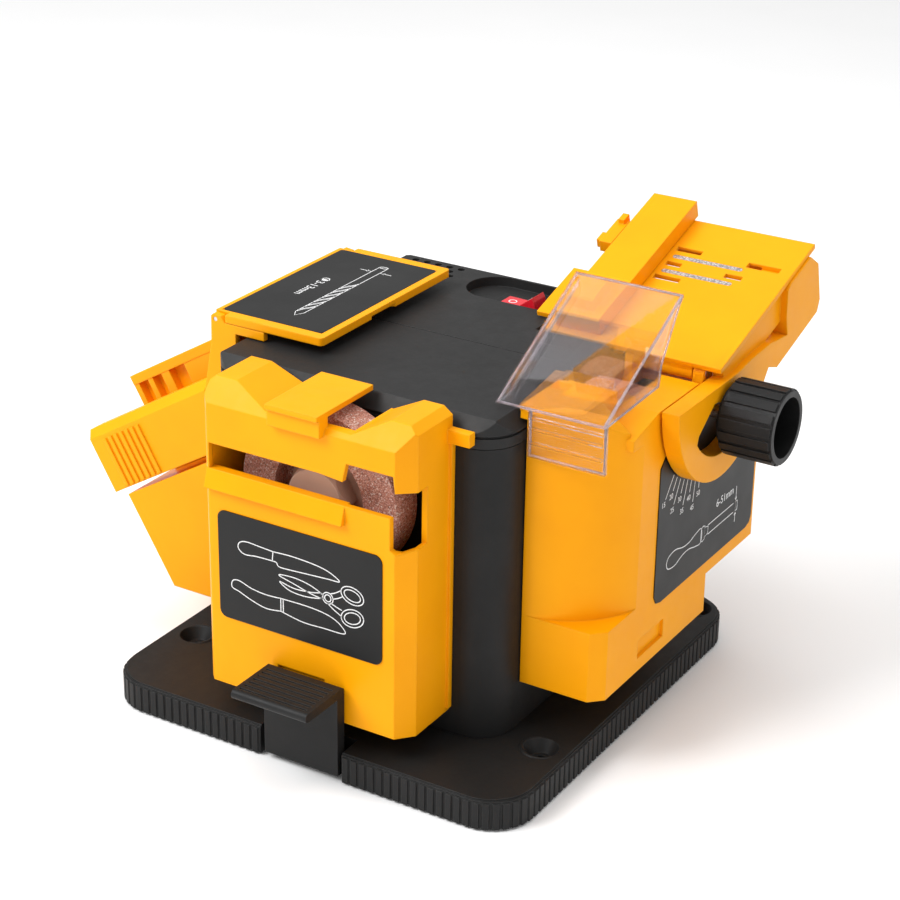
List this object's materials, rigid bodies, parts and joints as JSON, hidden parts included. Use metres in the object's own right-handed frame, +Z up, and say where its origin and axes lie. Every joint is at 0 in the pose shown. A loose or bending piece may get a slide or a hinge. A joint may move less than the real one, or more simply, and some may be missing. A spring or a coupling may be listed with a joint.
{
  "type": "electric sharpener",
  "caption": "Three-station electric sharpener: a black housing on a square base, with stations for knives and scissors, chisels and twist drills, each with its own wheel.",
  "frame": {"origin": "on the surface it stands on, under the vertical motor axis, which is the centre of the rectangular base plate", "axes": "+X to the chisel station on the right, -Y to the knife station at the front, +Z up, along the pivot screw"},
  "size_m": [0.2965, 0.2583, 0.1922],
  "materials": {
    "black_plastic": "fine moulded grain",
    "cover_plastic": "fine moulded grain",
    "rubber": "dull",
    "steel": "turned",
    "motor_steel": "rolled sheet",
    "cast_alloy": "as cast",
    "copper": "enamelled winding",
    "inner_plastic": "moulded",
    "brass": "machined",
    "capacitor_case": "moulded",
    "abrasive": "coarse sparkling grit",
    "hub_plastic": "smooth moulded",
    "yellow_plastic": "satin moulded",
    "label": "printed film",
    "friction": "smooth",
    "strip_metal": "knurled",
    "clear_plastic": "clear moulded",
    "red_plastic": "glossy moulded",
    "knob_plastic": "moulded grain"
  },
  "bodies": {
    "stand": {"base_plate": "black_plastic", "rubber_feet": "rubber", "pivot_screw": "steel", "pedal_pin": "steel", "pedal_spring": "steel", "lower_housing": "black_plastic", "top_cover": "cover_plastic", "cover_screws": "steel", "switch_frame": "black_plastic", "cable_gland": "black_plastic", "motor_can": "motor_steel", "motor_bells": "cast_alloy", "motor_stator": "copper", "motor_screws": "steel", "gearbox_bracket": "cast_alloy", "shaft_bushes": "brass", "run_capacitor": "capacitor_case", "knife_body": "yellow_plastic", "knife_label": "label", "chisel_body": "yellow_plastic", "chisel_label": "label", "friction_plate": "friction", "tilt_pin": "steel", "clamp_stud": "steel", "drill_body": "yellow_plastic", "lid_pin": "steel", "drill_rest": "yellow_plastic"},
    "pedal": {"pedal": "black_plastic"},
    "rocker": {"switch_rocker": "red_plastic"},
    "rotor": {"motor_shaft": "steel", "motor_rotor": "motor_steel", "motor_fan": "inner_plastic", "crown_gear": "brass"},
    "knife_spindle": {"knife_shaft": "steel", "knife_pinion": "brass", "knife_wheel": "abrasive", "knife_flange": "hub_plastic", "knife_nut": "hub_plastic"},
    "chisel_spindle": {"chisel_shaft": "steel", "chisel_pinion": "brass", "chisel_wheel": "abrasive", "chisel_flange": "hub_plastic", "chisel_nut": "hub_plastic"},
    "drill_spindle": {"drill_shaft": "steel", "drill_pinion": "brass", "drill_wheel": "abrasive", "drill_flange": "hub_plastic", "drill_nut": "hub_plastic"},
    "table": {"tilt_frame": "yellow_plastic", "table_plate": "yellow_plastic", "table_screws": "steel", "magnet_strips": "strip_metal", "fence_clip": "yellow_plastic"},
    "fence": {"fence_bar": "yellow_plastic"},
    "shield": {"shield": "clear_plastic"},
    "knob": {"clamp_knob": "knob_plastic"},
    "lid": {"drill_lid": "yellow_plastic", "lid_label": "label"},
    "jaw": {"drill_jaw": "yellow_plastic"}
  },
  "joints": [
    {"name": "pedal_tilt", "type": "hinge", "parent": "stand", "child": "pedal", "pos_m": [0.0015, -0.094, 0.007], "axis": [1, 0, 0], "range_deg": [0, 14], "stiffness_Nm_per_rad": 0.4, "springref_deg": -8.59},
    {"name": "rocker_tilt", "type": "hinge", "parent": "stand", "child": "rocker", "pos_m": [0.0085, 0.063, 0.1475], "axis": [0, 1, 0], "range_deg": [0, 36]},
    {"name": "motor_spin", "type": "hinge", "parent": "stand", "child": "rotor", "pos_m": [0, 0, 0.06], "axis": [0, 0, 1], "continuous": true},
    {"name": "knife_spin", "type": "hinge", "parent": "stand", "child": "knife_spindle", "pos_m": [0, -0.06, 0.1165], "axis": [0, -1, 0], "continuous": true},
    {"name": "chisel_spin", "type": "hinge", "parent": "stand", "child": "chisel_spindle", "pos_m": [0.06, 0, 0.1165], "axis": [1, 0, 0], "continuous": true},
    {"name": "drill_spin", "type": "hinge", "parent": "stand", "child": "drill_spindle", "pos_m": [-0.06, 0, 0.1165], "axis": [-1, 0, 0], "continuous": true},
    {"name": "table_tilt", "type": "hinge", "parent": "stand", "child": "table", "pos_m": [0.09, 0.041, 0.15], "axis": [1, 0, 0], "range_deg": [-2, 33]},
    {"name": "fence_slide", "type": "slide", "parent": "table", "child": "fence", "axis": [1, 0, 0], "range_m": [-0.003, 0.04]},
    {"name": "knob_turn", "type": "hinge", "parent": "stand", "child": "knob", "pos_m": [0.129, 0.044, 0.1328], "axis": [1, 0, 0], "range_deg": [-180, 180]},
    {"name": "shield_lift", "type": "slide", "parent": "stand", "child": "shield", "axis": [0, 0, 1], "range_m": [0, 0.015]},
    {"name": "lid_open", "type": "hinge", "parent": "stand", "child": "lid", "pos_m": [-0.0808, 0.008, 0.1602], "axis": [0, -1, 0], "range_deg": [0, 100]},
    {"name": "jaw_slide", "type": "slide", "parent": "stand", "child": "jaw", "axis": [-0.8572, 0, -0.515], "range_m": [0, 0.012]}
  ],
  "couplings": [
    {"joint": "knife_spin", "follows": "motor_spin", "ratio": 2},
    {"joint": "chisel_spin", "follows": "motor_spin", "ratio": 2},
    {"joint": "drill_spin", "follows": "motor_spin", "ratio": 2}
  ]
}
